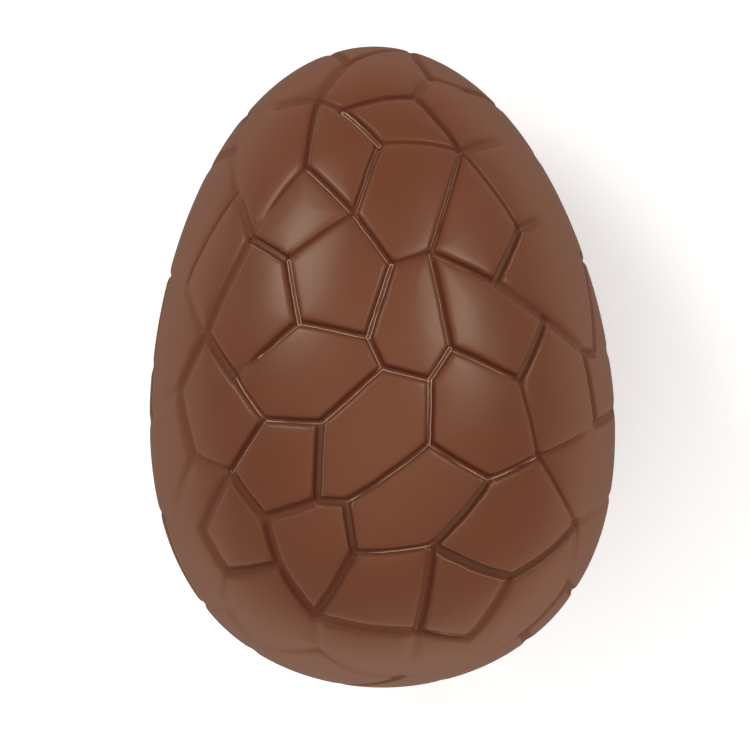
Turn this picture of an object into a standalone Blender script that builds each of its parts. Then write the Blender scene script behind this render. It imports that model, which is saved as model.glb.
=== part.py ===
"""A moulded milk-chocolate egg with a crazy-paving crackle, lying on its side.

Metres, +Z up. The long axis runs near +Y with the pointed end at +Y, and the egg rests on a small flat under it.
A place on the egg is given as (round, up) in degrees: round from the middle of the upper side, up from the waist
towards the pointed end. The lower half repeats the upper half, turned half round the long axis, as two like
half shells from one mould do.
"""

import math

import bmesh
import bpy
from mathutils import Matrix, Vector

LENGTH = 0.120
WAIST = 0.0857  # across at mid-length
TAPER = 0.17  # how much fuller the blunt half is than the pointed half
FULLNESS = 0.09  # how much fuller both ends are than an ellipse

CRACK_WIDTH = 0.0018
CRACK_DEPTH = 0.0009
LIP_DROP = 0.00008  # a tile's edge below the smooth egg
TILE_SWELL = 0.00036  # a tile's middle above its edge
CRACK_STEP = 0.005  # spacing of the points along a crack
MIDWAY = 0.5  # the ring on a tile, between its middle and its edge

FLAT_WIDTH = 0.010  # the flat it rests on, measured across the egg
FLAT_PLACE = (162.5, -0.5)  # the middle of a lower tile, under the point where the egg balances

CHOCOLATE = (0.178, 0.070, 0.041, 1.0)
GLOSS_ROUGHNESS = 0.34

# Where cracks meet or bend, in rows from the pointed end to the blunt end, each row from left to right.
JUNCTIONS = {
    "a1": (-20, 72), "a2": (12, 79.5), "a3": (45, 71), "a4": (78, 78),
    "b1": (-77, 52), "b2": (-50, 55.5), "b3": (-28, 57), "b4": (-13.5, 53.5),
    "b5": (22.5, 57), "b6": (40, 63.5), "b7": (60, 58.5), "b8": (87, 53),
    "c1": (-65, 43.5), "c2": (-24.5, 39), "c3": (2.5, 44), "c4": (34, 41.5), "c5": (87, 38.5),
    "d1": (-51, 34), "d2": (-39.5, 24.5), "d3": (-6.5, 28.5), "d4": (47, 24.5), "d5": (86, 26.5),
    "e1": (-65, 16.5), "e2": (-26, 20), "e3": (4, 18.5), "e4": (15.5, 20.5), "e5": (33.5, 14.5),
    "e6": (83, 18.5), "e7": (95, 17.5),
    "f1": (-51, 7), "f2": (-21.5, 8.5), "f3": (-3, 5.5), "f4": (18.5, 3), "f5": (48.5, 7.5),
    "g1": (-61, -3), "g2": (-39.5, -1), "g3": (0.5, 0), "g4": (12.5, -2.5), "g5": (37, -3),
    "g6": (63.5, 1.5), "g7": (70, 1), "g8": (96, 1.5),
    "h1": (-54.5, -15), "h2": (-42, -18), "h3": (-30.5, -8.5), "h4": (-15.5, -9.5), "h5": (11.5, -14),
    "h6": (42, -17), "h7": (66.5, -11.5), "h8": (86, -9), "h9": (97, -7.5),
    "j1": (-71, -26.5), "j2": (-56, -29), "j3": (-33, -27), "j4": (-17.5, -24), "j5": (-10, -24.5),
    "j6": (27.5, -21), "j7": (60.5, -30.5), "j8": (68, -28), "j9": (88, -25), "j10": (98, -26.5),
    "k1": (-62, -46.5), "k2": (-51, -38.5), "k3": (-31.5, -37), "k4": (-9, -35), "k5": (12.5, -34),
    "k6": (38.5, -42), "k7": (70.5, -44.5), "k8": (95, -46),
    "m1": (-66, -58.5), "m2": (-31, -60), "m3": (-25, -50), "m4": (10.5, -55.5), "m5": (33, -58.5),
    "m6": (65, -57.5), "m7": (90, -60.5),
    "n1": (-23, -70), "n2": (8, -76), "n3": (50, -71), "n4": (93, -79),
}

# The tiles, each by the junctions round it. A name with ~ is that junction turned half round the egg.
END_TILES = (
    "a1 a2 a4 a1~ a2~ a4~",
    "n2 n4 n2~ n4~",
)
TILES = (
    "a1 a2 a4 a3 b6 b5 b4 b3", "b6 a3 a4 b8 b7", "a1 a4~ b8~ b1 b2 b3", "b1 c1 c5~ b8~",
    "b1 b2 b3 c2 d2 d1 c1", "b3 b4 c3 d3 c2", "b4 b5 c4 c3", "b5 b6 b7 b8 c5 c4",
    "c1 d1 e1 e7~ e6~ d5~ c5~", "d1 d2 f1 e1", "c2 d3 e2 d2", "c3 c4 e4 e3 d3", "c4 d4 e5 e4", "c4 c5 d5 d4",
    "e1 f1 g1 h9~ g8~ e7~", "d2 e2 f2 g2 f1", "d3 e3 f3 f2 e2", "e3 e4 f4 g4 g3 f3", "e4 e5 f5 g5 f4",
    "d4 d5 e6 g7 g6 f5 e5", "e6 e7 g8 g7", "f2 f3 g3 h4 h3 g2", "f1 g2 h3 h2 h1 g1",
    "g1 h1 j1 j10~ j9~ h8~ h9~", "h3 h4 j4 j3 h2", "h4 g3 g4 h5 j5 j4", "g4 f4 g5 h6 j6 h5",
    "g5 f5 g6 h7 h6", "g6 g7 g8 h9 h8 h7", "h1 h2 j2 k2 k1 k8~ j10~ j1", "h5 j6 k5 k4 j5", "j6 h6 j7 k6 k5",
    "h6 h7 h8 j9 j8 j7", "j7 j8 j9 j10 k8 k7", "h2 j3 k3 k2 j2", "j5 k4 m3 k3 j3 j4", "k4 k5 m4 m3",
    "k5 k6 m5 m4", "k6 j7 k7 m6 n3 n2 m4 m5", "k7~ k8~ k1 m1 m7~ m6~", "k2 k3 m3 m2 m1 k1",
    "m3 m4 n2 n1 m2", "m6 m7 n4 n2 n3", "m7~ m1 m2 n1 n2 n4~",
)


def clear_scene():
    for old in list(bpy.data.objects):
        bpy.data.objects.remove(old, do_unlink=True)


def swelling(sine):
    """How full the egg is at this sine of the height, against an ellipsoid."""
    return 1 - TAPER * sine + FULLNESS * sine * sine


def ball_direction(around, up):
    """The place as a direction from the middle of a unit ball, before the ball is drawn out to the egg."""
    around = math.radians(around)
    up = math.radians(up)
    return Vector((math.cos(up) * math.sin(around), math.sin(up), math.cos(up) * math.cos(around)))


def junction_direction(name):
    around, up = JUNCTIONS[name.rstrip("~")]
    return ball_direction(around + (180 if name.endswith("~") else 0), up)


def egg_point(direction, rise=0.0):
    """The point of the smooth egg that this direction of the ball is drawn out to, moved out by rise."""
    direction = direction.normalized()
    sine = direction.y
    cosine = max(math.hypot(direction.x, direction.z), 1e-9)
    radius = WAIST / 2 * swelling(sine)
    slope = WAIST / 2 * (cosine * cosine * (2 * FULLNESS * sine - TAPER) - sine * swelling(sine))
    outward = Vector((direction.x / cosine, 0, direction.z / cosine)) * (LENGTH / 2 * cosine)
    outward.y = -slope
    surface = Vector((radius * direction.x, LENGTH / 2 * sine, radius * direction.z))
    return surface + outward.normalized() * rise


def direction_of(point):
    """The direction of the ball that is drawn out to about this point of the egg."""
    sine = max(-1.0, min(1.0, point.y / (LENGTH / 2)))
    radius = WAIST / 2 * swelling(sine)
    return Vector((point.x / radius, point.y / (LENGTH / 2), point.z / radius)).normalized()


def turned(names):
    """The same tile half round the egg."""
    return [name[:-1] if name.endswith("~") else name + "~" for name in names]


def tile_loops():
    loops = [tile.split() for tile in TILES]
    loops += [turned(loop) for loop in loops]
    return loops + [tile.split() for tile in END_TILES]


def lay_cracks(model, loops):
    """The points along the bottom of every crack, from its first junction to its last."""
    junctions = {}
    for name in sorted({name for names in loops for name in names}):
        junctions[name] = model.verts.new(egg_point(junction_direction(name), -CRACK_DEPTH))
    cracks = {}
    for names in loops:
        for pair in zip(names, names[1:] + names[:1]):
            first, last = sorted(pair)
            if (first, last) in cracks:
                continue
            start = junction_direction(first)
            end = junction_direction(last)
            pieces = max(2, round((egg_point(end) - egg_point(start)).length / CRACK_STEP))
            between = [start.lerp(end, step / pieces) for step in range(1, pieces)]
            points = [model.verts.new(egg_point(direction, -CRACK_DEPTH)) for direction in between]
            cracks[first, last] = [junctions[first], *points, junctions[last]]
    return cracks


def lay_tiles(model):
    """One face for each tile, with its outline on the bottom of the cracks."""
    loops = tile_loops()
    cracks = lay_cracks(model, loops)
    faces = []
    for names in loops:
        outline = []
        for first, last in zip(names, names[1:] + names[:1]):
            crack = cracks[first, last] if first < last else cracks[last, first][::-1]
            outline += crack[:-1]
        faces.append(model.faces.new(outline))
    bmesh.ops.recalc_face_normals(model, faces=faces)
    return faces


def set_on_egg(verts, rise):
    for vert in verts:
        vert.co = egg_point(direction_of(vert.co), rise)


def raise_tiles(model, faces):
    """Draws each tile in by half a crack, lifts it to the egg's surface and swells its middle."""
    bmesh.ops.inset_individual(model, faces=faces, thickness=CRACK_WIDTH / 2, use_even_offset=True)
    for face in faces:
        set_on_egg(face.verts, -LIP_DROP)
    tops = bmesh.ops.extrude_discrete_faces(model, faces=faces)["faces"]
    for face in tops:
        middle = face.calc_center_median()
        for vert in face.verts:
            vert.co = middle.lerp(vert.co, MIDWAY)
        set_on_egg(face.verts, TILE_SWELL * (1 - MIDWAY * MIDWAY) - LIP_DROP)
    middles = bmesh.ops.poke(model, faces=tops)["verts"]
    set_on_egg(middles, TILE_SWELL - LIP_DROP)
    bmesh.ops.triangulate(model, faces=model.faces)


def lay_on_side(model):
    """Rolls and tips the egg onto its resting place, cuts the flat there and moves the origin under the middle."""
    around, up = FLAT_PLACE
    model.transform(Matrix.Rotation(math.radians(180 - around), 4, "Y"))
    direction = ball_direction(180, up)
    surface = egg_point(direction)
    normal = egg_point(direction, 1.0) - surface
    model.transform(Matrix.Translation(-surface))
    model.transform(normal.rotation_difference(Vector((0, 0, -1))).to_matrix().to_4x4())
    flat_height = FLAT_WIDTH * FLAT_WIDTH / 8 / (WAIST / 2)
    everything = model.verts[:] + model.edges[:] + model.faces[:]
    cut = bmesh.ops.bisect_plane(
        model, geom=everything, plane_co=(0, 0, flat_height), plane_no=(0, 0, -1), clear_outer=True
    )
    rim = [part for part in cut["geom_cut"] if isinstance(part, bmesh.types.BMEdge)]
    bmesh.ops.edgenet_fill(model, edges=rim)
    bmesh.ops.recalc_face_normals(model, faces=model.faces)
    middle_x = (max(vert.co.x for vert in model.verts) + min(vert.co.x for vert in model.verts)) / 2
    middle_y = (max(vert.co.y for vert in model.verts) + min(vert.co.y for vert in model.verts)) / 2
    model.transform(Matrix.Translation((-middle_x, -middle_y, -flat_height)))


def chocolate():
    material = bpy.data.materials.new("milk_chocolate")
    material.use_nodes = True
    shader = material.node_tree.nodes["Principled BSDF"]
    shader.inputs["Base Color"].default_value = CHOCOLATE
    shader.inputs["Roughness"].default_value = GLOSS_ROUGHNESS
    shader.inputs["Metallic"].default_value = 0.0
    return material


def make_egg(collection):
    model = bmesh.new()
    raise_tiles(model, lay_tiles(model))
    lay_on_side(model)
    mesh = bpy.data.meshes.new("egg")
    model.to_mesh(mesh)
    model.free()
    mesh.materials.append(chocolate())
    mesh.shade_smooth()
    mesh.set_sharp_from_angle(angle=math.radians(25))
    egg = bpy.data.objects.new("egg", mesh)
    collection.objects.link(egg)
    return egg


def main():
    clear_scene()
    collection = bpy.data.collections.new("chocolate_egg")
    bpy.context.scene.collection.children.link(collection)
    make_egg(collection)


main()
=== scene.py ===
"""Looks of a moulded milk-chocolate egg with a crazy-paving crackle, lying on its side in a light tent.

The shell is laid out tile by tile on the smooth egg, with rows of points that run along every crack. A
Geometry Nodes tree then cuts the cracks, swells and tips each tile and presses the resting flat. Metres, +Z
up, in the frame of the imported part. A place on the egg is (round, up) in degrees: round from the middle of
the shown side, up from the waist towards the pointed end.
"""

import logging
import math
from dataclasses import dataclass, field
from enum import Enum
from functools import partial

import bpy
import numpy as np
from mathutils import Matrix, Vector


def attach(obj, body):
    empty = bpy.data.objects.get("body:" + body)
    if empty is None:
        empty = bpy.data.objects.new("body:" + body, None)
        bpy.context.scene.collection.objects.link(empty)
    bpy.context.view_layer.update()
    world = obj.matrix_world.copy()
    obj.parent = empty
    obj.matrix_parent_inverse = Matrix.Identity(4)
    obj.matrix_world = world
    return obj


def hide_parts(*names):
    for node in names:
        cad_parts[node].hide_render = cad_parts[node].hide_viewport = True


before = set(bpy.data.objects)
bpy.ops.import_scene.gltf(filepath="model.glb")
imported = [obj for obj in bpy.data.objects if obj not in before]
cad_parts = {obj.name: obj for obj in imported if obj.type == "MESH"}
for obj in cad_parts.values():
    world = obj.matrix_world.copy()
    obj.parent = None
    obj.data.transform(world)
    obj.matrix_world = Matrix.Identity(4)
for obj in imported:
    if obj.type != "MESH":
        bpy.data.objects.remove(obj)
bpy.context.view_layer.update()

LOG = logging.getLogger("chocolate_egg")
MM = 0.001
WHITE = (1.0, 1.0, 1.0, 1.0)
NOISE_LOW, NOISE_HIGH = 0.25, 0.75  # a noise mostly lies between these

MATH = "ShaderNodeMath"
VECTOR_MATH = "ShaderNodeVectorMath"
MAP_RANGE = "ShaderNodeMapRange"
NOISE = "ShaderNodeTexNoise"
MIX = "ShaderNodeMix"
SET_POSITION = "GeometryNodeSetPosition"
SMOOTH = {"interpolation_type": "SMOOTHSTEP"}

Tree = bpy.types.NodeTree
Socket = bpy.types.NodeSocket
Row = tuple[float, ...]
Curve = tuple[tuple[float, float], ...]


def to_linear(code: str) -> tuple[float, float, float, float]:
    """Turns an sRGB hex colour into linear light.

    Args:
        code: six hex digits, such as "7a4c38".

    Returns:
        Red, green, blue and an alpha of 1.
    """
    parts = [int(code[start : start + 2], 16) / 255 for start in (0, 2, 4)]
    linear = [part / 12.92 if part <= 0.04045 else ((part + 0.055) / 1.055) ** 2.4 for part in parts]
    return (*linear, 1.0)


def add_node(
    tree: Tree, kind: str, feeds: dict[str, object] | tuple = (), out: int | str = 0, **settings: object
) -> Socket:
    """Adds a node, sets its properties and fills its inputs.

    Args:
        tree: the tree that gets the node.
        kind: Blender's name of the node's type.
        feeds: for its inputs, in order or by identifier, a value or the output socket that is linked to it.
        out: which of its outputs is wanted.
        **settings: the node's own properties.

    Returns:
        That output.
    """
    node = tree.nodes.new(kind)
    for name, value in settings.items():
        setattr(node, name, value)
    sockets = {socket.identifier: socket for socket in node.inputs}
    fed = feeds if isinstance(feeds, dict) else dict(zip(sockets, feeds))
    for identifier, value in fed.items():
        if isinstance(value, Socket):
            tree.links.new(value, sockets[identifier])
        else:
            sockets[identifier].default_value = value
    return node.outputs[out]


def unit(vectors: np.ndarray) -> np.ndarray:
    """Scales each row to length 1."""
    return vectors / np.linalg.norm(vectors, axis=-1, keepdims=True)


def ball_direction(around: float, up: float) -> np.ndarray:
    """Gives a place on the egg as a direction from the middle of a unit ball.

    Args:
        around: degrees round the long axis from the middle of the shown side.
        up: degrees from the waist towards the pointed end.

    Returns:
        The direction, with +Y towards the pointed end and +Z towards the shown side.
    """
    around = math.radians(around)
    up = math.radians(up)
    return np.array((math.cos(up) * math.sin(around), math.sin(up), math.cos(up) * math.cos(around)))


@dataclass(frozen=True)
class EggForm:
    """The smooth egg: a ball drawn out along +Y and made fuller at its blunt end."""

    length: float = 0.120
    waist: float = 0.0857
    taper: float = 0.17
    fullness: float = 0.09

    def swelling(self, sine: np.ndarray) -> np.ndarray:
        """Gives how full the egg is at this sine of the height, against an ellipsoid."""
        return 1 - self.taper * sine + self.fullness * sine * sine

    def points(self, directions: np.ndarray) -> np.ndarray:
        """Draws directions of the ball out to points of the smooth egg.

        Args:
            directions: rows of directions.

        Returns:
            A row for each point.
        """
        radius = self.waist / 2 * self.swelling(directions[:, 1])
        along = self.length / 2 * directions[:, 1]
        return np.column_stack((radius * directions[:, 0], along, radius * directions[:, 2]))

    def outward(self, directions: np.ndarray) -> np.ndarray:
        """Finds the normals of the smooth egg.

        Args:
            directions: the directions of the ball that are drawn out to the places asked for.

        Returns:
            A normal for each, of length 1.
        """
        sine = directions[:, 1]
        cosine = np.hypot(directions[:, 0], directions[:, 2])
        bend = cosine * cosine * (2 * self.fullness * sine - self.taper) - sine * self.swelling(sine)
        slope = self.waist / 2 * bend
        half = self.length / 2
        return unit(np.column_stack((directions[:, 0] * half, -slope, directions[:, 2] * half)))

    def directions(self, points: np.ndarray) -> np.ndarray:
        """Finds the directions of the ball that are drawn out to about these points.

        Args:
            points: rows of points near the smooth egg.

        Returns:
            A direction for each.
        """
        sine = np.clip(points[:, 1] / (self.length / 2), -1, 1)
        radius = self.waist / 2 * self.swelling(sine)
        return unit(np.column_stack((points[:, 0] / radius, sine, points[:, 2] / radius)))


@dataclass(frozen=True)
class RestingPlace:
    """How the egg lies: rolled and tipped onto a small flat in the middle of a lower tile."""

    flat_width: float = 0.010
    around: float = 162.5
    up: float = -0.5

    def matrix(self, form: EggForm) -> Matrix:
        """Gives the move from the egg's own frame to the part's frame.

        Args:
            form: the smooth egg.

        Returns:
            The move, which leaves the flat at height 0 and the egg's outline centred on the origin.
        """
        place = np.array([ball_direction(180, self.up)])
        surface = Vector(form.points(place)[0])
        normal = Vector(form.outward(place)[0])
        roll = Matrix.Rotation(math.radians(180 - self.around), 4, "Y")
        tip = normal.rotation_difference(Vector((0, 0, -1))).to_matrix().to_4x4()
        flat_height = self.flat_width * self.flat_width / 8 / (form.waist / 2)
        move = Matrix.Translation((0, 0, -flat_height)) @ tip @ Matrix.Translation(-surface) @ roll
        # A point at every 2 degrees round and every degree up.
        fan = [ball_direction(around, up) for around in range(-180, 180, 2) for up in range(-90, 91)]
        laid = moved(form.points(np.array(fan)), move)
        middle = (laid.max(axis=0) + laid.min(axis=0)) / 2
        return Matrix.Translation((-middle[0], -middle[1], 0)) @ move


def pairs_round(loop: list) -> list[tuple]:
    """Pairs each member of a closed loop with the next."""
    return list(zip(loop, loop[1:] + loop[:1]))


def moved(points: np.ndarray, move: Matrix) -> np.ndarray:
    """Applies a move to rows of points."""
    matrix = np.array(move)
    return points @ matrix[:3, :3].T + matrix[:3, 3]


class CrackKind(Enum):
    """How a crack is cut."""

    PLAIN = 1
    WIDE = 2
    FINE = 3
    SOFT = 4
    RAILED = 5
    FAINT = 6
    BROAD = 7


@dataclass(frozen=True)
class Groove:
    """A crack's section and painted tones (shade, reflection, highlight), each a curve from its middle (0) to
    its lip (1), where it is 0.
    """

    half_width: float
    depth: float
    section: Curve  # the share of the depth
    wall: Curve = ()  # how much painted shade darkens it
    floor: Curve = ()  # how much painted greyish reflection it gets
    edge: Curve = ()  # how much painted highlight it gets


GROOVES: dict[CrackKind, Groove] = {
    CrackKind.PLAIN: Groove(
        1.30 * MM, 0.95 * MM,
        section=((0.0, 1.0), (0.16, 0.97), (0.27, 0.84), (0.52, 0.36), (0.75, 0.11)),
        wall=((0.0, 0.3), (0.22, 0.5), (0.45, 0.9), (0.68, 0.45)),
        edge=((0.0, 0.0), (0.15, 0.0), (0.25, 1.0), (0.35, 0.0)),
    ),
    CrackKind.WIDE: Groove(
        1.45 * MM, 1.05 * MM,
        section=((0.0, 1.0), (0.32, 0.985), (0.43, 0.86), (0.64, 0.30), (0.80, 0.08)),
        wall=((0.0, 0.1), (0.32, 0.3), (0.48, 1.0), (0.66, 0.6)),
        floor=((0.0, 0.6), (0.28, 0.5), (0.42, 0.0)),
        edge=((0.0, 0.0), (0.72, 0.0), (0.82, 0.22), (0.92, 0.0)),
    ),
    CrackKind.FINE: Groove(
        0.80 * MM, 0.42 * MM,
        section=((0.0, 1.0), (0.40, 0.70), (0.75, 0.18)),
        wall=((0.0, 1.0), (0.35, 0.95), (0.70, 0.30)),
    ),
    CrackKind.SOFT: Groove(
        1.80 * MM, 0.62 * MM,
        section=((0.0, 1.0), (0.30, 0.84), (0.65, 0.28)),
        wall=((0.0, 0.5), (0.35, 0.5), (0.70, 0.2)),
    ),
    CrackKind.FAINT: Groove(
        1.70 * MM, 0.28 * MM,
        section=((0.0, 1.0), (0.30, 0.84), (0.65, 0.28)),
    ),
    CrackKind.BROAD: Groove(
        1.85 * MM, 0.90 * MM,
        section=((0.0, 1.0), (0.30, 0.93), (0.52, 0.55), (0.75, 0.14)),
        wall=((0.0, 0.75), (0.35, 0.85), (0.60, 0.55), (0.85, 0.10)),
    ),
    CrackKind.RAILED: Groove(
        1.45 * MM, 1.00 * MM,
        section=((0.0, 1.0), (0.25, 0.98), (0.36, 0.84), (0.60, 0.34), (0.80, 0.09)),
        wall=((0.0, 0.2), (0.16, 0.3), (0.45, 0.9), (0.68, 0.45)),
        floor=((0.0, 0.3), (0.16, 0.3), (0.28, 0.0)),
        edge=((0.0, 0.0), (0.17, 0.0), (0.25, 1.0), (0.33, 0.0)),
    ),
}


def draw_curve(node: bpy.types.Node, spots: Curve) -> None:
    """Draws a curve into a curve node.

    Args:
        node: the node.
        spots: where it passes, before it comes down to 0 at the lip.
    """
    points = node.mapping.curves[0].points
    points[0].location = spots[0]
    points[-1].location = (1.0, 0.0)
    for spot in spots[1:]:
        points.new(*spot)
    node.mapping.update()


@dataclass(frozen=True)
class Crackle:
    """The crazy paving: where the cracks meet, which tiles they bound and how each crack is cut."""

    # Rows from the pointed end to the blunt end, each from left to right, as (round, up).
    junctions: dict[str, tuple[float, float]] = field(default_factory=lambda: {
        "a1": (-20, 72), "a2": (12, 79.5), "a3": (45, 71), "a4": (78, 78),
        "b1": (-77, 52), "b2": (-50, 55.5), "b3": (-28, 57), "b4": (-13.5, 53.5),
        "b5": (22.5, 57), "b6": (40, 63.5), "b7": (60, 58.5), "b8": (87, 53),
        "c1": (-65, 43.5), "c2": (-24.5, 39), "c3": (2.5, 44), "c4": (34, 41.5), "c5": (87, 38.5),
        "d1": (-51, 34), "d2": (-39.5, 24.5), "d3": (-6.5, 28.5), "d4": (47, 24.5), "d5": (86, 26.5),
        "e1": (-65, 16.5), "e2": (-26, 20), "e3": (4, 18.5), "e4": (15.5, 20.5), "e5": (33.5, 14.5),
        "e6": (83, 18.5), "e7": (95, 17.5),
        "f1": (-51, 7), "f2": (-21.5, 8.5), "f3": (-3, 5.5), "f4": (18.5, 3), "f5": (48.5, 7.5),
        "g1": (-61, -3), "g2": (-39.5, -1), "g3": (0.5, 0), "g4": (12.5, -2.5), "g5": (37, -3),
        "g6": (63.5, 1.5), "g7": (70, 1), "g8": (96, 1.5),
        "h1": (-54.5, -15), "h2": (-42, -18), "h3": (-30.5, -8.5), "h4": (-15.5, -9.5), "h5": (11.5, -14),
        "h6": (42, -17), "h7": (66.5, -11.5), "h8": (86, -9), "h9": (97, -7.5),
        "j1": (-71, -26.5), "j2": (-56, -29), "j3": (-33, -27), "j4": (-17.5, -24), "j5": (-10, -24.5),
        "j6": (27.5, -21), "j7": (60.5, -30.5), "j8": (68, -28), "j9": (88, -25), "j10": (98, -26.5),
        "k1": (-62, -46.5), "k2": (-51, -38.5), "k3": (-31.5, -37), "k4": (-9, -35), "k5": (12.5, -34),
        "k6": (38.5, -42), "k7": (70.5, -44.5), "k8": (95, -46),
        "m1": (-66, -58.5), "m2": (-31, -60), "m3": (-25, -50), "m4": (10.5, -55.5), "m5": (33, -58.5),
        "m6": (65, -57.5), "m7": (90, -60.5),
        "n1": (-23, -70), "n2": (8, -76), "n3": (50, -71), "n4": (93, -79),
    })  # fmt: skip

    # Each tile by the junctions round it. A name with ~ is that junction turned half round the egg.
    end_tiles: tuple[str, ...] = ("a1 a2 a4 a1~ a2~ a4~", "n2 n4 n2~ n4~")
    tiles: tuple[str, ...] = (
        "a1 a2 a4 a3 b6 b5 b4 b3", "b6 a3 a4 b8 b7", "a1 a4~ b8~ b1 b2 b3", "b1 c1 c5~ b8~",
        "b1 b2 b3 c2 d2 d1 c1", "b3 b4 c3 d3 c2", "b4 b5 c4 c3", "b5 b6 b7 b8 c5 c4",
        "c1 d1 e1 e7~ e6~ d5~ c5~", "d1 d2 f1 e1", "c2 d3 e2 d2", "c3 c4 e4 e3 d3", "c4 d4 e5 e4",
        "c4 c5 d5 d4", "e1 f1 g1 h9~ g8~ e7~", "d2 e2 f2 g2 f1", "d3 e3 f3 f2 e2", "e3 e4 f4 g4 g3 f3",
        "e4 e5 f5 g5 f4", "d4 d5 e6 g7 g6 f5 e5", "e6 e7 g8 g7", "f2 f3 g3 h4 h3 g2", "f1 g2 h3 h2 h1 g1",
        "g1 h1 j1 j10~ j9~ h8~ h9~", "h3 h4 j4 j3 h2", "h4 g3 g4 h5 j5 j4", "g4 f4 g5 h6 j6 h5",
        "g5 f5 g6 h7 h6", "g6 g7 g8 h9 h8 h7", "h1 h2 j2 k2 k1 k8~ j10~ j1", "h5 j6 k5 k4 j5",
        "j6 h6 j7 k6 k5", "h6 h7 h8 j9 j8 j7", "j7 j8 j9 j10 k8 k7", "h2 j3 k3 k2 j2",
        "j5 k4 m3 k3 j3 j4", "k4 k5 m4 m3", "k5 k6 m5 m4", "k6 j7 k7 m6 n3 n2 m4 m5",
        "k7~ k8~ k1 m1 m7~ m6~", "k2 k3 m3 m2 m1 k1", "m3 m4 n2 n1 m2", "m6 m7 n4 n2 n3",
        "m7~ m1 m2 n1 n2 n4~",
    )  # fmt: skip
    # The cracks that aren't plain, each by its two junctions.
    cut_as: dict[CrackKind, tuple[str, ...]] = field(default_factory=lambda: {
        CrackKind.WIDE: (
            "d2 e2", "h4 j4", "j4 j5", "j5 k4", "d4 e5", "f5 g5", "j7 k6", "k5 k6", "j6 k5",
        ),
        CrackKind.BROAD: ("h2 j3", "j3 k3", "k3 m3", "k4 m3", "k5 m4", "k2 k3", "j3 j4", "f1 g2"),
        CrackKind.RAILED: ("b4 c3", "e2 f2", "e3 f3", "f4 g4", "g4 h5"),
        CrackKind.FINE: (
            "c4 d4", "c3 c4", "c2 d2", "b3 b4", "d3 e2", "h6 j7", "h6 h7", "g5 h6", "d1 e1", "b6 b7", "e3 e4",
        ),
        CrackKind.SOFT: (
            "e5 f5", "f5 g6", "d1 d2", "h2 j2", "j2 k2", "d4 d5", "g1 h1", "h1 h2", "f1 g1",
            "c4 c5", "b5 b6", "k7 m6", "c1 c5~", "d2 f1", "m3 m4", "k6 m5", "a1 b3", "b2 b3",
        ),
        CrackKind.FAINT: (
            "b1 b2", "b1 c1", "c1 d1", "d5 e6", "j7 j8", "j8 j9", "j7 k7", "g7 g8", "h8 h9", "h1 j1",
            "j1 j10~", "j1 j2", "k1 k2", "k1 k8~", "k1 m1", "m1 m2", "m1 m7~", "m2 n1", "m4 n2", "n1 n2",
            "m2 m3", "n2 n3", "n2 n4", "m6 n3", "m7 n4", "g1 h9~", "e1 e7~", "e1 f1",
        ),
    })  # fmt: skip
    # A crack that runs out, and how far along it from its first junction the tool has left the surface.
    fading: dict[str, float] = field(default_factory=lambda: {
        "c2 d2": 0.92, "c4 c5": 0.40, "d4 d5": 0.26, "b5 b6": 0.62, "n2 m4": 1.5, "b2 b1": 0.8, "g2 f1": 1.15,
        "f2 g2": 0.94, "f5 g6": 1.0, "d2 d1": 0.9, "h6 h7": 1.0,
    })  # fmt: skip

    def direction(self, name: str) -> np.ndarray:
        """Gives a junction's direction from the middle of the ball."""
        around, up = self.junctions[name.rstrip("~")]
        return ball_direction(around + (180 if name.endswith("~") else 0), up)

    def loops(self) -> list[list[str]]:
        """Lists every tile of both halves and the two at the ends.

        Returns:
            The names of the junctions round each.
        """
        loops = [tile.split() for tile in self.tiles]
        loops += [[self.turned(name) for name in loop] for loop in loops]
        return loops + [tile.split() for tile in self.end_tiles]

    @staticmethod
    def turned(name: str) -> str:
        """Gives the same junction half round the egg."""
        return name[:-1] if name.endswith("~") else name + "~"

    def twins(self, first: str, last: str) -> tuple[tuple[str, str], tuple[str, str]]:
        """Gives a crack's two ends, and those of the same crack half round the egg."""
        return (first, last), (self.turned(first), self.turned(last))


    def kind(self, first: str, last: str) -> CrackKind:
        """Finds how the crack between two junctions is cut.

        Args:
            first: one of its junctions.
            last: the other.

        Returns:
            Its kind.
        """
        pairs = {" ".join(ends) for twin in self.twins(first, last) for ends in (twin, twin[::-1])}
        return next((kind for kind, names in self.cut_as.items() if pairs & set(names)), CrackKind.PLAIN)

    def fade(self, first: str, last: str) -> tuple[float, bool]:
        """Gives how far along the crack it has run out, and whether that is counted from its last junction.

        Args:
            first: the crack's first junction.
            last: the crack's last junction.

        Returns:
            The share of its length, or 0 for a crack that doesn't run out, and True if it starts at the last.
        """
        for start, end in self.twins(first, last):
            if f"{start} {end}" in self.fading:
                return self.fading[f"{start} {end}"], False
            if f"{end} {start}" in self.fading:
                return self.fading[f"{end} {start}"], True
        return 0.0, False


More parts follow.
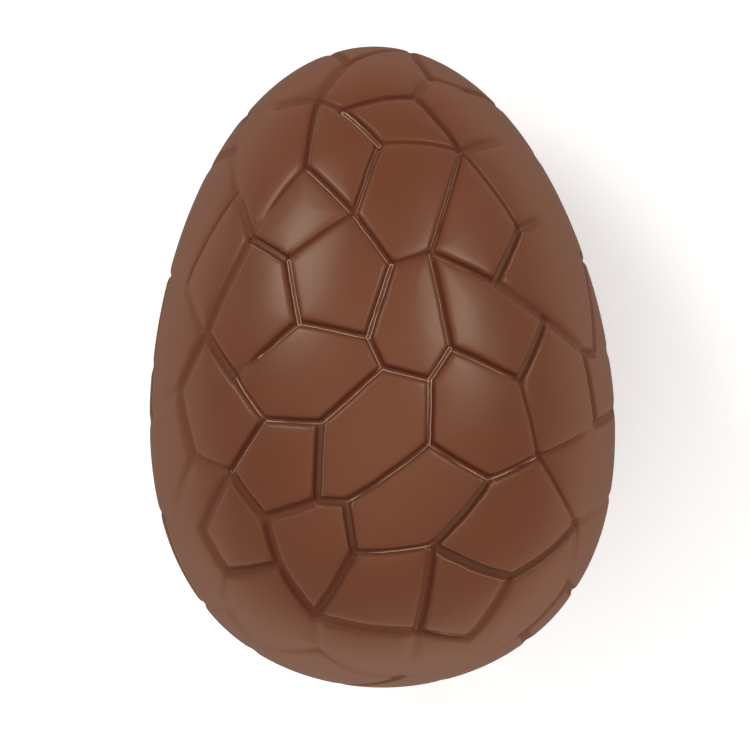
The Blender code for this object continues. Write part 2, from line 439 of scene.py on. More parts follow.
@dataclass
class ShellMesh:
    """The smooth shell as one closed mesh, with rows of points along every crack, and the cracks' lines."""

    form: EggForm
    crackle: Crackle
    place: Matrix
    step: float = 1.18 * MM  # spacing of the points along a crack
    fewest_steps: int = 3  # along the shortest crack
    # Distances of the rows from the crack's middle, in millimetres.
    rows: Row = (0.14, 0.28, 0.41, 0.54, 0.68, 0.82, 0.97, 1.13, 1.31, 1.53, 1.90, 2.45, 3.20)
    steps_inwards: Row = (0.18, 0.36, 0.56, 0.78)  # the last rows, as shares of the way to the tile's middle
    safe_share: float = 0.72  # how much of the way to where a row's side would vanish the rows may go
    least_opening: float = 0.15  # keeps the mitre of a sharp corner short
    strides: Row = tuple(np.geomspace(0.05, 0.0002, 400))  # of the search for a tile's middle
    fade_lift: float = 1.5 * MM  # how far off the surface the tool is where a crack has run out
    fade_power: int = 4  # how suddenly it gets there
    seam_width: float = 0.75  # the sine of the angle from the mould's seam over which the cracks grow shallow
    seam_depth: float = 0.34  # how deep a crack is at the seam, as a share of its depth
    directions: list[np.ndarray] = field(init=False, default_factory=list)
    tile_of: list[int] = field(init=False, default_factory=list)
    faces: list[tuple[int, ...]] = field(init=False, default_factory=list)
    middles: list[np.ndarray] = field(init=False, default_factory=list)
    cracks: dict[tuple[str, str], list[int]] = field(init=False, default_factory=dict)

    def add(self, direction: np.ndarray, tile: int) -> int:
        """Adds a point.

        Args:
            direction: its direction from the middle of the ball.
            tile: the tile that it belongs to, or 0.

        Returns:
            Its number.
        """
        self.directions.append(direction)
        self.tile_of.append(tile)
        return len(self.directions) - 1

    def lay_cracks(self) -> None:
        """Lays the points along the middle of every crack, once for the two tiles that share it."""
        corners: dict[str, int] = {}
        for loop in self.crackle.loops():
            for pair in pairs_round(loop):
                first, last = sorted(pair)
                if (first, last) in self.cracks:
                    continue
                ends = [self.crackle.direction(name) for name in (first, last)]
                for name, end in zip((first, last), ends):
                    if name not in corners:
                        corners[name] = self.add(end, 0)
                span = np.linalg.norm(np.diff(self.form.points(np.array(ends)), axis=0))
                pieces = max(self.fewest_steps, round(span / self.step))
                shares = [step / pieces for step in range(1, pieces)]
                between = [self.add(unit(ends[0] * (1 - s) + ends[1] * s), 0) for s in shares]
                self.cracks[first, last] = [corners[first], *between, corners[last]]

    def outline(self, loop: list[str]) -> list[list[int]]:
        """Collects a tile's sides.

        Args:
            loop: the junctions round the tile.

        Returns:
            The numbers of the points along each side, anticlockwise from outside.
        """
        sides = []
        for first, last in pairs_round(loop):
            crack = self.cracks[min(first, last), max(first, last)]
            sides.append(crack if first < last else crack[::-1])
        corners = self.along(sides, 0)
        turn = np.cross(corners, np.roll(corners, -1, axis=0)).sum(axis=0) @ corners.mean(axis=0)
        return sides if turn > 0 else [side[::-1] for side in sides[::-1]]

    def along(self, sides: list[list[int]], spot: int) -> np.ndarray:
        """Gives the direction of this point of each side."""
        return np.array([self.directions[side[spot]] for side in sides])

    def middle_of(self, corners: np.ndarray) -> np.ndarray:
        """Finds the place in a tile from which every side is in sight and as far off as can be.

        Args:
            corners: the directions of the tile's corners, anticlockwise from outside.

        Returns:
            The direction of that place.
        """
        inward = unit(np.cross(corners, np.roll(corners, -1, axis=0)))
        middle = unit(corners.mean(axis=0))
        for stride in self.strides:
            nearest = inward[(inward @ middle).argmin()]
            middle = unit(middle + nearest * stride)
        return middle

    def mitres(self, sides: list[list[int]]) -> tuple[np.ndarray, np.ndarray, float]:
        """Finds which way each corner of a tile moves as its sides close in.

        Args:
            sides: the numbers of the points along each side.

        Returns:
            The corners' places, how far each moves for a step of 1, and how far the sides may close in.
        """
        corners, onward, before = (self.form.points(self.along(sides, spot)) for spot in (0, 1, -2))
        normals = self.form.outward(self.along(sides, 0))
        leaving = unit(onward - corners)
        arriving = unit(corners - np.roll(before, 1, axis=0))
        inward_leaving = np.cross(normals, leaving)
        inward_arriving = np.cross(normals, arriving)
        opening = 1 + (inward_leaving * inward_arriving).sum(axis=1, keepdims=True)
        mitre = (inward_leaving + inward_arriving) / np.maximum(opening, self.least_opening)
        lengths = np.linalg.norm(np.roll(corners, -1, axis=0) - corners, axis=1)
        closing = (mitre * leaving).sum(axis=1)
        closing -= (np.roll(mitre, -1, axis=0) * np.roll(arriving, -1, axis=0)).sum(axis=1)
        return corners, mitre, self.safe_share * (lengths[closing > 0] / closing[closing > 0]).min()

    def lay_tile(self, tile: int, loop: list[str]) -> None:
        """Fills one tile with rows of points that keep their distance from its cracks, then close in.

        Args:
            tile: the tile's number.
            loop: the junctions round it.
        """
        sides = self.outline(loop)
        places, mitre, reach = self.mitres(sides)
        middle = self.middle_of(self.along(sides, 0))
        self.middles.append(middle)
        rings = [[point for side in sides for point in side[:-1]]]
        for row in self.rows:
            if row * MM > reach:
                break
            inset = self.form.directions(places + mitre * row * MM)
            line = []
            for side, start, end in zip(sides, inset, np.roll(inset, -1, axis=0)):
                pieces = len(side) - 1
                spots = [unit(start + (end - start) * step / pieces) for step in range(pieces)]
                line += [self.add(spot, tile) for spot in spots]
            rings.append(line)
        edge = [self.directions[point] for point in rings[-1]]
        for share in self.steps_inwards:
            rings.append([self.add(unit(start + (middle - start) * share), tile) for start in edge])
        for outer, inner in zip(rings, rings[1:]):
            facing = zip(pairs_round(outer), pairs_round(inner))
            self.faces += [(*side, *across[::-1]) for side, across in facing]
        centre = self.add(middle, tile)
        self.faces += [(*side, centre) for side in pairs_round(rings[-1])]

    def shell(self) -> bpy.types.Object:
        """Builds the smooth shell in place, with what the relief needs to know stored on its points.

        Returns:
            The shell.
        """
        self.lay_cracks()
        self.middles.append(np.array((0.0, 0.0, 1.0)))  # of no tile, for the points along the cracks
        for tile, loop in enumerate(self.crackle.loops(), start=1):
            self.lay_tile(tile, loop)
        directions = np.array(self.directions)
        outward = self.form.outward(directions)
        middles = moved(self.form.points(np.array(self.middles)), self.place)
        seam = np.clip(np.abs(outward[:, 2]) / self.seam_width, 0, 1)
        draft = self.seam_depth + (1 - self.seam_depth) * seam * seam * (3 - 2 * seam)
        mesh = bpy.data.meshes.new("egg_shell")
        mesh.from_pydata(moved(self.form.points(directions), self.place).tolist(), [], self.faces)
        self.store(mesh, "outward", self.turned(outward))
        self.store(mesh, "tile_middle", middles[self.tile_of])
        self.store(mesh, "tile", np.array(self.tile_of))
        self.store(mesh, "draft", draft)
        return link_object("egg_shell", mesh)

    def crack_lines(self) -> bpy.types.Object:
        """Draws the path of the tool along every crack, lifted off the surface where the crack runs out.

        Returns:
            Loose lines, with the kind of crack stored on their edges.
        """
        points: list[np.ndarray] = []
        edges: list[tuple[int, int]] = []
        kinds: list[int] = []
        outwards: list[np.ndarray] = []
        for (first, last), crack in self.cracks.items():
            directions = np.array([self.directions[point] for point in crack])
            share, backwards = self.crackle.fade(first, last)
            along = np.linspace(1, 0, len(crack)) if backwards else np.linspace(0, 1, len(crack))
            lift = self.fade_lift * (along / share) ** self.fade_power if share else np.zeros(len(crack))
            outward = self.form.outward(directions)
            start = len(points)
            points.extend(self.form.points(directions) + outward * lift[:, None])
            outwards.extend(outward)
            edges += [(start + step, start + step + 1) for step in range(len(crack) - 1)]
            kinds += [self.crackle.kind(first, last).value] * (len(crack) - 1)
        mesh = bpy.data.meshes.new("crack_lines")
        mesh.from_pydata(moved(np.array(points), self.place).tolist(), edges, [])
        self.store(mesh, "outward", self.turned(np.array(outwards)))
        self.store(mesh, "kind", np.array(kinds), domain="EDGE")
        return link_object("crack_lines", mesh)

    def turned(self, vectors: np.ndarray) -> np.ndarray:
        """Turns directions from the egg's own frame to the part's."""
        return vectors @ np.array(self.place)[:3, :3].T

    @staticmethod
    def store(mesh: bpy.types.Mesh, name: str, values: np.ndarray, domain: str = "POINT") -> None:
        """Stores a value for each point or edge of a mesh.

        Args:
            mesh: the mesh.
            name: the name under which the nodes find it.
            values: vectors, whole numbers or numbers.
            domain: what the values belong to.
        """
        plain = "INT" if values.dtype.kind == "i" else "FLOAT"
        kind, key = ("FLOAT_VECTOR", "vector") if values.ndim > 1 else (plain, "value")
        layer = mesh.attributes.new(name, kind, domain)
        layer.data.foreach_set(key, np.ascontiguousarray(values).ravel())


def link_object(name: str, data: bpy.types.ID) -> bpy.types.Object:
    """Makes an object and puts it in the scene.

    Args:
        name: its name.
        data: its mesh, light or camera.

    Returns:
        The object.
    """
    made = bpy.data.objects.new(name, data)
    bpy.context.scene.collection.objects.link(made)
    return made


@dataclass(frozen=True)
class CrackleRelief:
    """The relief that the nodes press into the smooth shell. Each size is an input of their tree."""

    wander: float = 0.16 * MM  # how far a crack strays from its line
    wander_span: float = 5.0 * MM
    raggedness: float = 0.16  # how much a crack's width changes along it, as a share
    raggedness_span: float = 2.4 * MM
    swell: float = 0.34 * MM  # a tile's middle above its edge
    swell_reach: float = 7.5 * MM
    least_swell: float = 0.60  # the flattest tile's swell, as a share of the fullest one's
    shoulder: float = 0.24 * MM  # how far a tile rounds off towards its cracks
    shoulder_reach: float = 3.2 * MM
    tilt: float = 0.012  # the steepest tip of a tile, as a slope
    tilt_start: float = 1.2 * MM
    unevenness: float = 0.035 * MM
    unevenness_span: float = 11.0 * MM
    lip_drop: float = 0.40 * MM  # a tile's edge below the smooth egg
    highest: float = 0.15 * MM  # no point rises further than this above the smooth egg
    crisp_from: float = 0.80  # the share of its full depth from which a crack's painted shade, reflection and highlights grow crisp
    crisp_to: float = 0.98
    sheen_span: float = 9.0 * MM  # over how long a stretch the painted highlight along a crack's floor comes and goes
    sheen_from: float = 0.30  # the noise at which that painted highlight begins
    sheen_to: float = 0.50
    # Each crack is painted as lit, with a highlight and lighter shade, on its side towards the blunt end and
    # the middle of the shown side.
    polished_side: tuple[float, float, float] = (0.0, -0.95, 0.0)
    polished_inwards: float = 0.5
    polished_from: float = -0.45  # the sines from the egg's middle between which that turns
    polished_to: float = 0.10
    drawn_from: float = -0.35  # the cosine from the way of the painted light at which a crack's side begins to be painted as lit
    drawn_to: float = 0.45
    rounding: int = 60  # how often the tiles' swell is evened out, so that no tile has ridges
    seed: int = 7

    def sizes(self) -> dict[str, float]:
        """Lists the tree's sizes.

        Returns:
            Every size by the name of the input for it.
        """
        own = {name: size for name, size in vars(self).items() if isinstance(size, float)}
        sizes = {name.replace("_", " ").title(): size for name, size in own.items()}
        for kind, groove in GROOVES.items():
            sizes[f"{kind.name.title()} Half Width"] = groove.half_width
            sizes[f"{kind.name.title()} Depth"] = groove.depth
        return sizes


class ReliefTree:
    """The node tree that cuts the cracks into the smooth shell and shapes its tiles.

    Every size is a named input. What the shell's points and the cracks' lines have stored is read by name.
    """

    INPUTS: dict[str, str] = {
        "Geometry": "Geometry",
        "Crack Lines": "Object",
        "Chocolate": "Material",
        "Seed": "Int",
        "Rounding": "Int",
        "Polished Side": "Vector",
        "Right": "Vector",
    }
    STORED: dict[str, str] = {
        "outward": "FLOAT_VECTOR",
        "tile_middle": "FLOAT_VECTOR",
        "tile": "INT",
        "draft": "FLOAT",
        "kind": "INT",
    }

    def __init__(self, sizes: list[str]) -> None:
        """Builds the whole tree.

        Args:
            sizes: the names of the inputs for its sizes.
        """
        self.tree = bpy.data.node_groups.new("crackle_relief", "GeometryNodeTree")
        add = self.add = partial(add_node, self.tree)
        for name, kind in (self.INPUTS | dict.fromkeys(sizes, "Float")).items():
            self.tree.interface.new_socket(name, in_out="INPUT", socket_type=f"NodeSocket{kind}")
        self.tree.interface.new_socket("Geometry", in_out="OUTPUT", socket_type="NodeSocketGeometry")
        given = self.given = add("NodeGroupInput").node.outputs
        self.position = add("GeometryNodeInputPosition")
        self.stored = {
            name: add("GeometryNodeInputNamedAttribute", {"Name": name}, data_type=kind)
            for name, kind in self.STORED.items()
        }
        spans = ("Wander", "Raggedness", "Sheen", "Unevenness")
        self.density = {name: add(MATH, (1.0, given[f"{name} Span"]), operation="DIVIDE") for name in spans}
        stray = self.add_stray()
        straight = add("GeometryNodeObjectInfo", {"Object": given["Crack Lines"]}, "Geometry")
        self.lines = add(SET_POSITION, {"Geometry": straight, "Offset": stray})
        self.near = add("GeometryNodeProximity", {"Target": self.lines}, target_element="EDGES").node.outputs
        shell = add(SET_POSITION, {"Geometry": given["Geometry"], "Offset": stray})
        cut, tones = self.add_cuts()
        # Masks for the material's painted shade, reflection and highlights in the cracks.
        tones |= {"drawn": self.add_drawn(), "sheen": self.add_sheen(), "crisp": self.add_crispness()}
        for name, value in tones.items():
            shell = add("GeometryNodeStoreNamedAttribute", {"Geometry": shell, "Name": name, "Value": value})
        rise = add("GeometryNodeBlurAttribute", {"Value": self.add_tiles(), "Iterations": given["Rounding"]})
        rise = add(MATH, (rise, given["Highest"]), operation="MINIMUM")
        total = add(MATH, (rise, cut), operation="SUBTRACT")
        outward = self.stored["outward"]
        offset = add(VECTOR_MATH, {"Vector": outward, "Scale": total}, operation="SCALE")
        shell = add(SET_POSITION, {"Geometry": shell, "Offset": offset})
        shell = add(SET_POSITION, {"Geometry": shell, "Position": self.add_flat()})
        shell = add("GeometryNodeSetShadeSmooth", {"Geometry": shell})
        shell = add("GeometryNodeRealizeInstances", {"Geometry": shell})
        shell = add("GeometryNodeSetMaterial", {"Geometry": shell, "Material": given["Chocolate"]})
        self.tree.links.new(shell, self.tree.nodes.new("NodeGroupOutput").inputs[0])

    def add_stray(self) -> Socket:
        """Adds the nodes that make the cracks stray a little from their lines, along the surface.

        Returns:
            How far each point moves.
        """
        add, given = self.add, self.given
        density = self.density["Wander"]
        noise = add(NOISE, {"Vector": self.position, "Scale": density, "Detail": 1.0}, "Color")
        centred = add(VECTOR_MATH, (noise, (0.5, 0.5, 0.5)), operation="SUBTRACT")
        twice = add(MATH, (given["Wander"], 2.0), operation="MULTIPLY")
        stray = add(VECTOR_MATH, {"Vector": centred, "Scale": twice}, operation="SCALE")
        lifted = add(VECTOR_MATH, (stray, self.stored["outward"]), operation="PROJECT")
        return add(VECTOR_MATH, (stray, lifted), operation="SUBTRACT")

    def add_cuts(self) -> tuple[Socket, dict[str, Socket]]:
        """Adds the nodes that find how deep the cracks cut at each point.

        Returns:
            The depth of the deepest crack there, and by each kind of crack with painted tones how far across
            the nearest one the point is, from 0 in its middle to 1 at its lip.
        """
        add, given = self.add, self.given
        density = self.density["Raggedness"]
        rough = add(NOISE, {"Vector": self.position, "Scale": density, "Detail": 1.0})
        narrowest = add(MATH, (1.0, given["Raggedness"]), operation="SUBTRACT")
        width = add(MAP_RANGE, (rough, NOISE_LOW, NOISE_HIGH, narrowest))
        depths = []
        places = {}
        for kind, groove in GROOVES.items():
            title = kind.name.title()
            chosen = add(
                "FunctionNodeCompare",
                {"A_INT": self.stored["kind"], "B_INT": kind.value},
                data_type="INT",
                operation="EQUAL",
            )
            paths = add("GeometryNodeSeparateGeometry", (self.lines, chosen), domain="EDGE")
            near = add("GeometryNodeProximity", {"Target": paths}, "Distance", target_element="EDGES")
            reach = add(MATH, (given[f"{title} Half Width"], width), operation="MULTIPLY")
            across = add(MATH, (near, reach), operation="DIVIDE", use_clamp=True)
            section = add("ShaderNodeFloatCurve", {"Value": across})
            draw_curve(section.node, groove.section)
            depths.append(add(MATH, (section, given[f"{title} Depth"]), operation="MULTIPLY"))
            if groove.wall:
                places[f"{kind.name.lower()}_crack"] = across
        deepest = depths[0]
        for depth in depths[1:]:
            deepest = add(MATH, (deepest, depth), operation="MAXIMUM")
        return add(MATH, (deepest, self.stored["draft"]), operation="MULTIPLY"), places

    def add_drawn(self) -> Socket:
        """Adds the nodes that find whether the point is on the side of its crack that is painted as lit: with
        a highlight and lighter shade.

        Returns:
            From 0 on the side painted as shaded to 1 on the side painted as lit.
        """
        add, given = self.add, self.given
        outward, right = self.stored["outward"], given["Right"]
        arm = add(VECTOR_MATH, (self.position, self.near["Position"]), operation="SUBTRACT")
        way = add(VECTOR_MATH, (arm,), operation="NORMALIZE")
        beside = add(VECTOR_MATH, (outward, right), 1, operation="DOT_PRODUCT")
        outwards = add(MATH, (given["Polished Inwards"], -1.0), operation="MULTIPLY")
        turning = (beside, given["Polished From"], given["Polished To"], given["Polished Inwards"], outwards)
        inwards = add(MAP_RANGE, turning)
        sideways = add(VECTOR_MATH, {"Vector": right, "Scale": inwards}, operation="SCALE")
        light_facing = add(VECTOR_MATH, (given["Polished Side"], sideways), operation="ADD")
        lean = add(VECTOR_MATH, (way, light_facing), 1, operation="DOT_PRODUCT")
        return add(MAP_RANGE, (lean, given["Drawn From"], given["Drawn To"]), **SMOOTH)

    def add_sheen(self) -> Socket:
        """Adds the nodes that let the painted highlight along a crack's floor come and go, on each of its
        sides by itself.

        Returns:
            How strong that painted highlight is there, from 0 to 1.
        """
        add, given = self.add, self.given
        apart = add(
            "FunctionNodeRandomValue",
            {"Max": (1.0, 1.0, 1.0), "ID": self.stored["tile"], "Seed": given["Seed"]},
            data_type="FLOAT_VECTOR",
        )
        spot = add(VECTOR_MATH, (self.position, apart), operation="ADD")
        noise = add(NOISE, {"Vector": spot, "Scale": self.density["Sheen"], "Detail": 1.0})
        return add(MAP_RANGE, (noise, given["Sheen From"], given["Sheen To"]), **SMOOTH)

    def add_crispness(self) -> Socket:
        """Adds the node that finds how crisp the cracks' painted shade, reflection and highlights are: less
        and less towards the mould's seam.

        Returns:
            From 0 near the seam to 1 well away from it.
        """
        draft = self.stored["draft"]
        return self.add(MAP_RANGE, (draft, self.given["Crisp From"], self.given["Crisp To"]), **SMOOTH)

    def add_tiles(self) -> Socket:
        """Adds the nodes that swell, round off, tip and unsettle each tile.

        Returns:
            How far each point rises above the smooth egg.
        """
        add, given = self.add, self.given
        near = self.near["Distance"]
        by_tile = {"ID": self.stored["tile"], "Seed": given["Seed"]}
        share = add(
            "FunctionNodeRandomValue",
            {"Min_001": given["Least Swell"], "Max_001": 1.0, **by_tile},
            1,
            data_type="FLOAT",
        )
        dome, edge, slope = (
            add(
                MAP_RANGE,
                {"Value": near, "From Max": given[reach], "To Max": given[height]},
                interpolation_type=way,
            )
            for height, reach, way in (
                ("Swell", "Swell Reach", "SMOOTHERSTEP"),
                ("Shoulder", "Shoulder Reach", "SMOOTHERSTEP"),
                ("Tilt", "Tilt Start", "SMOOTHSTEP"),
            )
        )
        swelled = add(MATH, (dome, share), operation="MULTIPLY")
        rise = add(MATH, (swelled, edge), operation="ADD")

        lean = add(
            "FunctionNodeRandomValue",
            {"Min": (-1.0, -1.0, -1.0), "Max": (1.0, 1.0, 1.0), **by_tile},
            data_type="FLOAT_VECTOR",
        )
        arm = add(VECTOR_MATH, (self.position, self.stored["tile_middle"]), operation="SUBTRACT")
        leant = add(VECTOR_MATH, (arm, lean), 1, operation="DOT_PRODUCT")
        tipped = add(MATH, (leant, slope), operation="MULTIPLY")
        rise = add(MATH, (rise, tipped), operation="ADD")

        density = self.density["Unevenness"]
        noise = add(NOISE, {"Vector": self.position, "Scale": density, "Detail": 2.0})
        wavy = add(MATH, (noise, given["Unevenness"], rise), operation="MULTIPLY_ADD")
        lowered = add(MATH, (wavy, given["Lip Drop"]), operation="SUBTRACT")
        return add(MATH, (lowered, self.stored["draft"]), operation="MULTIPLY")

    def add_flat(self) -> Socket:
        """Adds the nodes that press what would reach below height 0 into the resting flat.

        Returns:
            Where each point comes to lie.
        """
        parts = self.add("ShaderNodeSeparateXYZ", (self.position,)).node.outputs
        level = self.add(MATH, (parts["Z"], 0.0), operation="MAXIMUM")
        return self.add("ShaderNodeCombineXYZ", (parts["X"], parts["Y"], level))


@dataclass(frozen=True)
class MilkChocolate:
    """Milk chocolate set in a polished mould: a satin brown skin, a little uneven in tone and gloss, with
    painted shade, a painted greyish reflection and painted highlights in its cracks.
    """

    deep: str = "663620"
    pale: str = "6e3e28"
    crack_wall: str = "5a2007"  # painted shade on a crack's walls
    # painted greyish reflection on the floor of a wide or railed crack
    crack_floor: str = "67432a"
    floor_edge: str = "d0ab90"  # painted highlight along the edges of a crack's floor
    glint: str = "fff3dc"  # cocoa butter mirrors light a little warmer than it is
    roughness_low: float = 0.32
    roughness_high: float = 0.38
    cloud_span: float = 14.0 * MM  # patches of slightly paler cocoa butter
    grain_span: float = 0.9 * MM  # the skin's fine unevenness, drawn coarser than real so that it shows
    grain_height: float = 0.006 * MM
    chip_span: float = 1.6 * MM  # the edges of a crack's painted shade and highlights are a little ragged
    chip_reach: float = 0.13
    worn_roughness: float = 0.70  # on a crack's walls
    fully_worn: float = 0.35  # the share of painted shade on a wall from which it is as dull as that
    polished_dark: float = 0.35  # the painted wall shade on a crack's lit side, as a share of that on its other side
    seam_dark: float = 0.42  # how strong the painted wall shade is near the seam, as a share
    index: float = 1.46

    def material(self) -> bpy.types.Material:
        """Builds the finish.

        Returns:
            The material.
        """
        made = bpy.data.materials.new("milk_chocolate")
        made.use_nodes = True
        tree = made.node_tree
        add = partial(add_node, tree)
        place = add("ShaderNodeTexCoord", out="Object")
        clouds, grain, chips = (
            add(NOISE, {"Vector": place, "Scale": 1 / span, "Detail": detail})
            for span, detail in ((self.cloud_span, 4.0), (self.grain_span, 3.0), (self.chip_span, 2.0))
        )
        colours = {"A_Color": to_linear(self.deep), "B_Color": to_linear(self.pale)}
        tone = add(MIX, {"Factor_Float": clouds, **colours}, 2, data_type="RGBA")
        stray, gloss = (
            add(MAP_RANGE, {"Value": noise, "To Min": low, "To Max": high})
            for noise, low, high in (
                (chips, -self.chip_reach, self.chip_reach),
                (clouds, self.roughness_low, self.roughness_high),
            )
        )
        tone, worn = self.add_crack_tones(tree, tone, stray)
        roughness = add(MAP_RANGE, (worn, 0.0, self.fully_worn, gloss, self.worn_roughness), **SMOOTH)
        bump = add("ShaderNodeBump", {"Height": grain, "Distance": self.grain_height, "Strength": 1.0})
        shader = tree.nodes["Principled BSDF"]
        shader.inputs["IOR"].default_value = self.index
        shader.inputs["Specular Tint"].default_value = to_linear(self.glint)
        for name, value in (("Base Color", tone), ("Roughness", roughness), ("Normal", bump)):
            tree.links.new(value, shader.inputs[name])
        return made

    def add_crack_tones(self, tree: Tree, tone: Socket, stray: Socket) -> tuple[Socket, Socket]:
        """Adds the nodes that paint shade on a crack's walls, a greyish reflection on its floor and
        highlights along its floor's edges.

        Args:
            tree: the material's tree.
            tone: the colour of the tiles.
            stray: how far the painted tones inside a crack stray across it.

        Returns:
            The colour everywhere, and how much the tool wore the skin there.
        """
        add = partial(add_node, tree)
        drawn, sheen, crisp = (
            add("ShaderNodeAttribute", out="Fac", attribute_name=name) for name in ("drawn", "sheen", "crisp")
        )
        # The painted highlight along a crack's floor, then that on its lit side only; then the strength of
        # the painted shade on its walls, weaker on the lit side and near the seam.
        bright = add(MATH, (sheen, crisp), operation="MULTIPLY")
        light_facing = add(MATH, (bright, drawn), operation="MULTIPLY")
        side = add(MAP_RANGE, {"Value": drawn, "To Min": 1.0, "To Max": self.polished_dark})
        kept = add(MAP_RANGE, {"Value": crisp, "To Min": self.seam_dark})
        wall_shade_strength = add(MATH, (side, kept), operation="MULTIPLY")
        worn = []
        for kind, groove in GROOVES.items():
            if not groove.wall:
                continue
            even = add("ShaderNodeAttribute", out="Fac", attribute_name=f"{kind.name.lower()}_crack")
            inside = add(MATH, (1.0, even), operation="SUBTRACT")
            across = add(MATH, (inside, stray, even), operation="MULTIPLY_ADD")
            shine = bright if kind is CrackKind.RAILED else light_facing  # painted highlight on both edges of the floor, or only on the side painted as lit
            layers = (
                (groove.wall, self.crack_wall, wall_shade_strength),
                (groove.floor, self.crack_floor, crisp),
                (groove.edge, self.floor_edge, shine),
            )
            for spots, colour, strength in layers:
                if not spots:
                    continue
                share = add("ShaderNodeFloatCurve", {"Value": across})
                draw_curve(share.node, spots)
                if spots is groove.wall:
                    worn.append(share)
                amount = add(MATH, (share, strength), operation="MULTIPLY")
                colours = {"A_Color": tone, "B_Color": to_linear(colour)}
                tone = add(MIX, {"Factor_Float": amount, **colours}, 2, data_type="RGBA")
        most = worn[0]
        for wear in worn[1:]:
            most = add(MATH, (most, wear), operation="MAXIMUM")
        return tone, most


@dataclass
class ChocolateEgg:
    """The egg: its form, its crackle and its finish."""

    form: EggForm = field(default_factory=EggForm)
    resting: RestingPlace = field(default_factory=RestingPlace)
    crackle: Crackle = field(default_factory=Crackle)
    relief: CrackleRelief = field(default_factory=CrackleRelief)
    finish: MilkChocolate = field(default_factory=MilkChocolate)

    def place(self) -> Matrix:
        """Gives the move from the egg's own frame to the part's frame."""
        return self.resting.matrix(self.form)

    def build(self) -> bpy.types.Object:
        """Makes the finished egg and lets it stand for the CAD node.

        Returns:
            The egg.
        """
        place = self.place()
        layout = ShellMesh(self.form, self.crackle, place)
        shell = layout.shell()
        lines = layout.crack_lines()
        sizes = self.relief.sizes()
        tree = ReliefTree(list(sizes)).tree
        modifier = shell.modifiers.new("crackle", "NODES")
        modifier.node_group = tree
        sockets = {item.name: item.identifier for item in tree.interface.items_tree if item.in_out == "INPUT"}
        values = {
            "Crack Lines": lines,
            "Chocolate": self.finish.material(),
            "Seed": self.relief.seed,
            "Rounding": self.relief.rounding,
            "Polished Side": place.to_3x3() @ Vector(self.relief.polished_side),
            "Right": place.to_3x3() @ Vector((1, 0, 0)),
        }
        for name, value in (values | sizes).items():
            modifier[sockets[name]] = value
        bpy.context.view_layer.update()
        graph = bpy.context.evaluated_depsgraph_get()
        mesh = bpy.data.meshes.new_from_object(shell.evaluated_get(graph))
        for name in ("outward", "tile_middle", "tile", "draft"):
            mesh.attributes.remove(mesh.attributes[name])
        egg = link_object("crackled_egg", mesh)
        for helper in (shell, lines):
            bpy.data.objects.remove(helper, do_unlink=True)
        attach(egg, "root")
        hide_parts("egg")
        return egg


@dataclass(frozen=True)
class SoftBox:
    """A round lamp of the tent."""

    name: str
    direction: tuple[float, float, float]  # from the egg, as right, up and towards the camera
    size: float
    watts: float
    shines: bool = True  # whether it shows in reflections


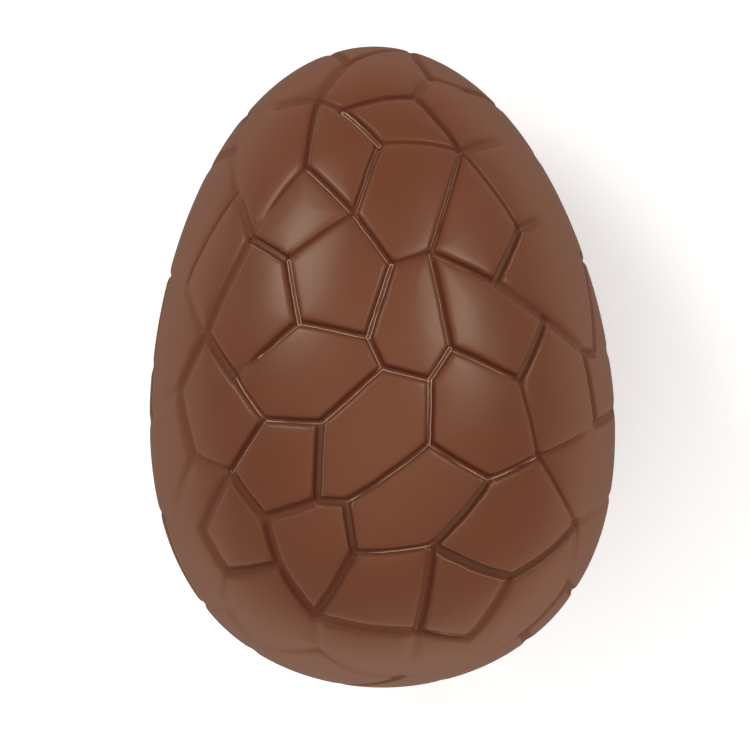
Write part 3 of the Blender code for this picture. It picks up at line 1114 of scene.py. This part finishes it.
@dataclass(frozen=True)
class Studio:
    """A light tent: a pale floor, two soft boxes, a fill light past the blunt end, and its uneven glow."""

    place: Matrix
    distance: float = 4.0  # a long lens, so that the near side looks no larger than it is
    sensor_width: float = 36.0  # in millimetres
    view_width: float = 140.3 * MM  # how much shows across the middle of the egg
    lean: float = 1.95  # degrees that the pointed end leans to the left
    aim_left: float = 1.0 * MM
    aim_down: float = 1.5 * MM
    floor_size: float = 6.0
    floor_colour: str = "f8f7f5"
    floor_roughness: float = 0.9
    floor_glow: float = 0.30  # a light table, which keeps the egg's shadow faint
    lamp_distance: float = 0.9
    lamps: tuple[SoftBox, ...] = (
        SoftBox("soft_box_left", (-0.62, 0.54, 0.57), 0.42, 2.7),
        SoftBox("soft_box_right", (0.60, 0.37, 0.71), 0.37, 2.15),
        SoftBox("fill_below", (0.22, -0.95, 0.0), 0.60, 2.0, shines=False),
    )
    backdrop: float = 0.90  # what the camera sees past the floor
    # The tent's brightness by the cosine of the angle from the camera: as it lights, and as it is mirrored.
    lit: Curve = ((-1.0, 1.24), (0.0, 1.38), (0.5, 0.80), (1.0, 0.48))
    mirrored: Curve = (
        (-1.0, 0.28), (-0.79, 0.42), (-0.56, 0.74), (-0.25, 0.58), (0.0, 0.16), (0.25, 0.04), (0.5, 0.06),
        (0.75, 0.46), (1.0, 1.15),
    )  # fmt: skip
    # The tent is brighter towards the blunt end: by the cosine from that end of the view, as a share.
    lit_below: Curve = ((-1.0, 0.70), (0.0, 1.0), (1.0, 1.22))
    mirrored_below: Curve = ((-1.0, 0.85), (0.0, 0.95), (0.6, 1.20), (1.0, 1.55))
    mirrored_tint: str = "fff1de"

    def axes(self) -> tuple[Vector, Vector, Vector]:
        """Finds how the camera looks.

        Returns:
            The view's right and up, and the direction towards the camera.
        """
        turn = self.place.to_3x3()
        towards = turn @ Vector((0, 0, 1))
        lean = math.radians(self.lean)
        up = turn @ Vector((math.sin(lean), math.cos(lean), 0))
        return up.cross(towards), up, towards

    def centre(self) -> Vector:
        """Gives the middle of the egg's long axis."""
        return self.place.to_translation()

    def build(self) -> None:
        """Sets the floor, the lamps, the sky and the camera."""
        self.lay_floor()
        for lamp in self.lamps:
            self.hang(lamp)
        self.paint_sky()
        self.set_camera()

    def lay_floor(self) -> None:
        """Lays a plain pale floor under the egg."""
        half = self.floor_size / 2
        corners = [(-half, -half, 0), (half, -half, 0), (half, half, 0), (-half, half, 0)]
        mesh = bpy.data.meshes.new("floor")
        mesh.from_pydata(corners, [], [(0, 1, 2, 3)])
        paper = bpy.data.materials.new("white_paper")  # matt and lit from behind, so that it stays pale
        paper.use_nodes = True
        shader = paper.node_tree.nodes["Principled BSDF"]
        shader.inputs["Base Color"].default_value = to_linear(self.floor_colour)
        shader.inputs["Roughness"].default_value = self.floor_roughness
        shader.inputs["Emission Color"].default_value = WHITE
        shader.inputs["Emission Strength"].default_value = self.floor_glow
        mesh.materials.append(paper)
        floor = link_object("floor", mesh)
        floor.visible_glossy = False

    def hang(self, lamp: SoftBox) -> None:
        """Hangs one lamp.

        Args:
            lamp: the lamp.
        """
        light = bpy.data.lights.new(lamp.name, "AREA")
        light.shape = "DISK"
        light.size = lamp.size
        light.energy = lamp.watts
        hung = link_object(lamp.name, light)
        right, up, towards = self.axes()
        x, y, z = lamp.direction
        way = (right * x + up * y + towards * z).normalized()
        hung.location = self.centre() + way * self.lamp_distance
        hung.rotation_euler = way.to_track_quat("Z", "Y").to_euler()
        hung.visible_glossy = lamp.shines

    def paint_sky(self) -> None:
        """Gives the tent's own glow, by one pattern as it lights the egg and by another as it is mirrored."""
        world = bpy.data.worlds.new("light_tent")
        bpy.context.scene.world = world
        world.use_nodes = True
        tree = world.node_tree
        add = partial(add_node, tree)
        way = add("ShaderNodeTexCoord", out="Generated")
        _, up, towards = self.axes()
        shares = []
        for axis in (towards, -up):
            cosine = add(VECTOR_MATH, (way, axis), 1, operation="DOT_PRODUCT")
            shares.append(add(MAP_RANGE, {"Value": cosine, "From Min": -1.0}))
        lights = []
        for stops, stops_below, tint in (
            (self.lit, self.lit_below, WHITE),
            (self.mirrored, self.mirrored_below, to_linear(self.mirrored_tint)),
        ):
            facing = self.add_gradient(tree, shares[0], stops, tint)
            below = self.add_gradient(tree, shares[1], stops_below, WHITE)
            lights.append(add(VECTOR_MATH, (facing, below), operation="MULTIPLY"))
        colour, mirrored = lights
        rays = add("ShaderNodeLightPath").node.outputs
        plain = (self.backdrop, self.backdrop, self.backdrop, 1.0)
        for ray, other in (("Is Glossy Ray", mirrored), ("Is Camera Ray", plain)):
            mixed = {"Factor_Float": rays[ray], "A_Color": colour, "B_Color": other}
            colour = add(MIX, mixed, 2, data_type="RGBA")
        tree.links.new(colour, tree.nodes["Background"].inputs["Color"])

    @staticmethod
    def add_gradient(tree: Tree, share: Socket, stops: Curve, tint: tuple[float, ...]) -> Socket:
        """Adds a light whose brightness changes with the cosine of an angle.

        Args:
            tree: the sky's tree.
            share: the cosine, moved from between -1 and 1 to between 0 and 1.
            stops: pairs of a cosine and the brightness there.
            tint: the light's colour.

        Returns:
            The light.
        """
        light = add_node(tree, "ShaderNodeValToRGB", (share,))
        ramp = light.node.color_ramp
        ramp.interpolation = "EASE"
        ramp.elements.remove(ramp.elements[1])
        for cosine, bright in stops:
            mark = ramp.elements.new((cosine + 1) / 2) if cosine > -1 else ramp.elements[0]
            mark.color = (*(bright * part for part in tint[:3]), 1.0)
        return light

    def set_camera(self) -> None:
        """Places the camera over the shown side."""
        lens = bpy.data.cameras.new("camera")
        lens.sensor_width = self.sensor_width
        lens.lens = self.sensor_width * self.distance / self.view_width
        camera = link_object("camera", lens)
        right, up, towards = self.axes()
        aim = self.centre() - right * self.aim_left - up * self.aim_down
        turn = Matrix((right, up, towards)).transposed().to_4x4()
        camera.matrix_world = Matrix.Translation(aim + towards * self.distance) @ turn
        bpy.context.scene.camera = camera
        bpy.context.scene.view_settings.view_transform = "Standard"


def main() -> None:
    """Builds the egg and its studio, and logs the egg's triangle count."""
    logging.basicConfig(level=logging.INFO, format="%(name)s: %(message)s")
    egg = ChocolateEgg()
    piece = egg.build()
    LOG.info("%s: %d triangles", piece.name, sum(len(face.vertices) - 2 for face in piece.data.polygons))
    Studio(egg.place()).build()


if __name__ == "__main__":
    main()
